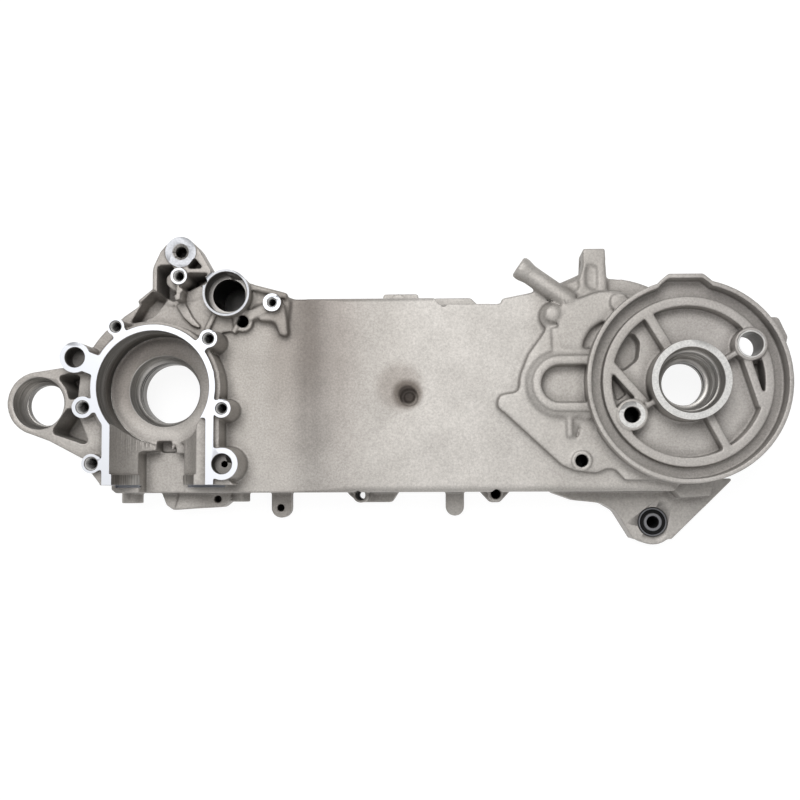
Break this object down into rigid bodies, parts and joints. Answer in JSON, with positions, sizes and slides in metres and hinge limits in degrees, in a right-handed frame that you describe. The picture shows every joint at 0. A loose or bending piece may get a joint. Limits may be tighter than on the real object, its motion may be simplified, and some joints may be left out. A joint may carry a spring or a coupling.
{
  "type": "engine crankcase half",
  "caption": "Left crankcase half of a small belt-drive scooter engine: a bare light-metal casting with belt case, crank chamber, gear housing, drum brake plate and a rubber-bushed lug.",
  "frame": {"origin": "mouth of the main bearing seat, on the crank axis", "axes": "+Z along the crank axis, out of the bearing seat towards the joint face and the rear wheel; +X along the case, from the crank towards the rear axle; +Y across the case, towards the upper lug"},
  "size_m": [0.5104, 0.2049, 0.078],
  "materials": {
    "cast_aluminium": "blasted casting with milled faces",
    "bush_steel": "dull",
    "bush_rubber": "matt"
  },
  "bodies": {
    "root": {"crankcase_casting": "cast_aluminium", "bush_outer_sleeve": "bush_steel", "bush_rubber": "bush_rubber", "bush_inner_sleeve": "bush_steel"}
  },
  "joints": []
}
